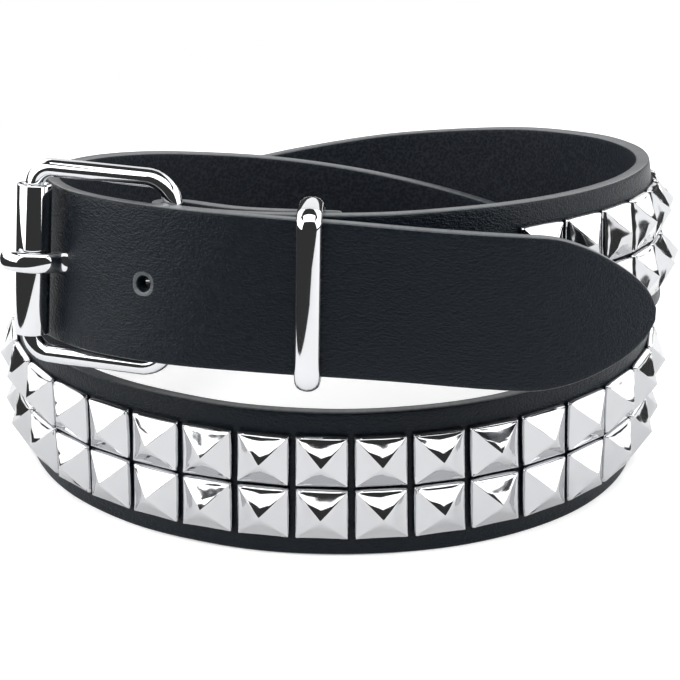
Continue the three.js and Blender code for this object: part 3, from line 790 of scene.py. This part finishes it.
# %% [markdown]
# ## Roller and prong
#
# The roller is a sheet tube that turns on the frame's outer bar. Its wall profile is spun once
# round. The prong is a bar that is curled round the pivot bar and bent over the roller, so its
# section is carried along a line, from the curl to the blunt end.

# %% The roller
ROLLER_HALF = FRAME_HEIGHT / 2 - ROLLER_CORNER_RADIUS + ROLLER_OVERHANG
BORE = WIRE_RADIUS + SEAT_GAP
tube = bmesh.new()
profile = [(BORE, -0.98), (BORE + 0.5, -1), (ROLLER_RADIUS - 0.4, -1), (ROLLER_RADIUS - 0.1, -0.994),
           (ROLLER_RADIUS, -0.98), (ROLLER_RADIUS, 0), (ROLLER_RADIUS, 0.98),
           (ROLLER_RADIUS - 0.1, 0.994), (ROLLER_RADIUS - 0.4, 1), (BORE + 0.5, 1), (BORE, 0.98)]
wall = [tube.verts.new((radius, 0, share * ROLLER_HALF)) for radius, share in profile]
wall_edges = [tube.edges.new((wall[i - 1], wall[i])) for i in range(len(wall))]
bmesh.ops.spin(tube, geom=wall_edges, cent=(0, 0, 0), axis=(0, 0, 1), dvec=(0, 0, 0),
               angle=2 * math.pi, steps=48, use_merge=True)
bmesh.ops.remove_doubles(tube, verts=tube.verts[:], dist=0.01)
bmesh.ops.recalc_face_normals(tube, faces=tube.faces[:])
bmesh.ops.translate(tube, verts=tube.verts[:], vec=(FRAME_REACH, 0, 0))
tube.transform(buckle_place)
roller_piece = finish_piece("buckle_roller", tube, [chrome])
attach(roller_piece, "root")
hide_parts("roller")

# %% The prong
# Distance from the bar as a share of the frame's reach, and height as a share of the crown's
PRONG_ROWS = [(0.28, 0.02), (0.5, -0.03), (0.74, -0.08), (0.82, 0.3), (0.9, 0.84), (1, 1),
              (1.1, 0.93), (1.19, 0.62)]
CROWN = ROLLER_RADIUS + SEAT_GAP + PRONG_THICKNESS / 2
CURL_RADIUS = BORE + PRONG_THICKNESS / 2
curl = [(CURL_RADIUS * math.cos(math.radians(a)), CURL_RADIUS * math.sin(math.radians(a)))
        for a in range(60, 331, 30)]
knots = np.array(curl + [(x * FRAME_REACH, y * CROWN) for x, y in PRONG_ROWS])
at = np.linspace(0, len(knots) - 1, 4 * len(knots))
line = np.stack([even_spline(knots[:, 0], at), even_spline(knots[:, 1], at)], axis=1)
way = unit(np.gradient(line, axis=0))

tongue = bmesh.new()
END_ROUNDING = (0.35, 0.75, 0.94)
section = round_section(tongue, 14, PRONG_THICKNESS / 2, PRONG_WIDTH / 2, 0)
ring = list({v for e in section for v in e.verts})
outline = {v: v.co.copy() for v in ring}
last = section
for number, (point, direction) in enumerate(zip(line, way)):
    from_end = min(number, len(line) - 1 - number)
    size = END_ROUNDING[from_end] if from_end < len(END_ROUNDING) else 1
    if number:
        run = bmesh.ops.extrude_edge_only(tongue, edges=last)["geom"]
        moved = {v for v in run if isinstance(v, bmesh.types.BMVert)}
        old = {v for e in last for v in e.verts}
        outline = {next(w for w in (e.other_vert(v) for e in v.link_edges) if w in old): v
                   for v in moved}
        outline = {v: shape[w] for w, v in outline.items()}
        last = [e for e in run if isinstance(e, bmesh.types.BMEdge) and all(v in moved for v in e.verts)]
    shape = outline
    for vert, flat in outline.items():
        # The section is a bar with rounded corners rather than an ellipse
        square = 1.12 - 0.12 * abs(flat.x / (PRONG_THICKNESS / 2)) ** 2
        across = flat.x * size * square
        vert.co = (point[0] - direction[1] * across, point[1] + direction[0] * across, flat.y * size)
bmesh.ops.holes_fill(tongue, edges=[e for e in tongue.edges if e.is_boundary], sides=0)
bmesh.ops.recalc_face_normals(tongue, faces=tongue.faces[:])
tongue.transform(buckle_place)
prong_piece = finish_piece("buckle_prong", tongue, [chrome], 1)
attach(prong_piece, "root")
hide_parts("prong")

# %% [markdown]
# ## The keeper
#
# The keeper goes round three layers: the folded end, the first turn and the end of the strap. Its
# size is taken from the layers where it sits, so it clears them all. Outside it is domed like a
# ring for a finger, and inside it is flat.

# %% Measure the layers and bend the keeper round them
keeper_point, _, keeper_out, keeper_up = spot(float(KEEPER_FROM_BAR))
tilt = Matrix.Rotation(KEEPER_TILT, 3, Vector(keeper_out))
keeper_up = np.array(tilt @ Vector(keeper_up))
keeper_side = np.cross(keeper_out, keeper_up)
fold_back = 2 * STRAP_THICKNESS + 2 * SEAT_GAP
half_band = KEEPER_BAND_WIDTH / 2
corners = []
for shift in (-half_band, 0, half_band):
    under = KEEPER_FROM_BAR + shift
    over_turn = np.interp(under, route_length, turns) + 720
    over = np.interp(over_turn, turns, route_length)
    for across in (-STRAP_WIDTH / 2, STRAP_WIDTH / 2):
        corners += [(under, across, -fold_back), (over, across, 0)]
held = wound(np.array(corners, float)) - keeper_point
spans = np.stack([held @ keeper_out, held @ keeper_up], axis=1)
room = np.array([SEAT_GAP, KEEPER_EDGE_GAP])
low, high = spans.min(axis=0) - room, spans.max(axis=0) + room
keeper_width, keeper_height = high - low
keeper_middle = (low + high) / 2 - (0, KEEPER_DROP)
keeper_centre = keeper_point + keeper_middle[0] * keeper_out + keeper_middle[1] * keeper_up

band = bmesh.new()
band_section = round_section(band, 20, KEEPER_THICKNESS, KEEPER_BAND_WIDTH / 2, keeper_width / 2)
for vert in band.verts:
    vert.co.x = max(vert.co.x, keeper_width / 2)
bend_round(band, band_section, keeper_width, keeper_height, KEEPER_CORNER_RADIUS, KEEPER_CORNER_RADIUS, 8)
band.transform(basis(keeper_out, -keeper_side, keeper_up, keeper_centre))
bmesh.ops.recalc_face_normals(band, faces=band.faces[:])
keeper_piece = finish_piece("belt_keeper", band, [chrome])
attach(keeper_piece, "root")
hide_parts("keeper")
print("the keeper's opening is", round(keeper_width, 1), "by", round(keeper_height, 1), "mm")

# %% [markdown]
# ## Floor, light and camera
#
# Chrome shows what stands round it, so the studio is most of its look. Broad soft panels to the
# left, the right, the back and above leave a dark gap where the camera stands, and that gap is
# the dark line in the roller and the keeper. The floor is white card, and to the camera alone it
# glows a little, which thins the shadow as a lit background does.

# %% The floor
FLOOR_RADIUS = 0.52
FLOOR_MIDDLE = (0.3, -0.04, 0)
FLOOR_GLOW = 0.3
floor_mesh = bmesh.new()
bmesh.ops.create_circle(floor_mesh, segments=64, radius=FLOOR_RADIUS, cap_ends=True,
                        matrix=Matrix.Translation(FLOOR_MIDDLE))
floor_material = bpy.data.materials.new("white_card")
floor_material.use_nodes = True
floor_shader = floor_material.node_tree.nodes["Principled BSDF"]
floor_shader.inputs["Base Color"].default_value = (0.88, 0.88, 0.88, 1)
floor_shader.inputs["Roughness"].default_value = 0.9
floor_shader.inputs["Emission Color"].default_value = (1, 1, 1, 1)
floor_seen = put(floor_material.node_tree, "ShaderNodeLightPath")
floor_glow = put(floor_material.node_tree, "ShaderNodeMapRange", {"To Min": 0.0, "To Max": FLOOR_GLOW})
join(floor_material.node_tree, floor_seen.outputs["Is Camera Ray"], floor_glow.inputs["Value"])
join(floor_material.node_tree, floor_glow.outputs["Result"], floor_shader.inputs["Emission Strength"])
floor = finish_piece("floor", floor_mesh, [floor_material])


# %% Soft panels
def softbox(name, place, target, width, height, power):
    """A rectangular soft panel in metres, turned to its target."""
    light = bpy.data.lights.new(name, "AREA")
    light.shape = "RECTANGLE"
    light.size, light.size_y, light.energy = width, height, power
    panel = bpy.data.objects.new(name, light)
    panel.visible_camera = False
    panel.location = place
    panel.rotation_euler = (Vector(target) - Vector(place)).to_track_quat("-Z", "Y").to_euler()
    bpy.context.scene.collection.objects.link(panel)
    return panel


CENTRE = (0, 0, 0.05)
softbox("panel_left", (-1.13, -0.3, 0.5), CENTRE, 1.3, 0.9, 13)
softbox("panel_right", (1.14, -0.24, 0.5), CENTRE, 1.3, 0.9, 11)
softbox("panel_top", (0, -0.42, 1.0), CENTRE, 1.5, 0.8, 12)
softbox("panel_back", (0, 1.2, 0.6), CENTRE, 2.4, 1.0, 9)
softbox("panel_back_left", (-1.0, 0.75, 0.7), CENTRE, 1.2, 1.2, 9)
softbox("panel_back_right", (1.0, 0.75, 0.7), CENTRE, 1.2, 1.2, 9)

world = bpy.data.worlds.new("studio")
bpy.context.scene.world = world
world.use_nodes = True
sky = world.node_tree
surround = sky.nodes["Background"]
surround.inputs["Color"].default_value = (1, 1, 1, 1)
seen = put(sky, "ShaderNodeLightPath")
strength = put(sky, "ShaderNodeMapRange", {"To Min": 0.05, "To Max": 1.0})
join(sky, seen.outputs["Is Camera Ray"], strength.inputs["Value"])
join(sky, strength.outputs["Result"], surround.inputs["Strength"])

# %% The camera
CAMERA_PLACE = Vector((0.84, -611.5, 292.7)) * MM
CAMERA_ELEVATION = math.radians(23.59)
CAMERA_ROLL = math.radians(-0.606)
LENS = 129.7
camera_data = bpy.data.cameras.new("camera")
camera_data.lens = LENS
camera_data.sensor_width = 36
camera_data.clip_end = 50
camera = bpy.data.objects.new("camera", camera_data)
ahead = Vector((0, math.cos(CAMERA_ELEVATION), -math.sin(CAMERA_ELEVATION)))
right = Vector((1, 0, 0))
above = right.cross(ahead)
roll_right = right * math.cos(CAMERA_ROLL) + above * math.sin(CAMERA_ROLL)
roll_above = above * math.cos(CAMERA_ROLL) - right * math.sin(CAMERA_ROLL)
camera.matrix_world = Matrix((roll_right, roll_above, -ahead)).transposed().to_4x4()
camera.location = CAMERA_PLACE
bpy.context.scene.collection.objects.link(camera)
bpy.context.scene.camera = camera
bpy.context.scene.view_settings.view_transform = "Standard"
print("the camera looks down by", round(math.degrees(CAMERA_ELEVATION), 1), "degrees")
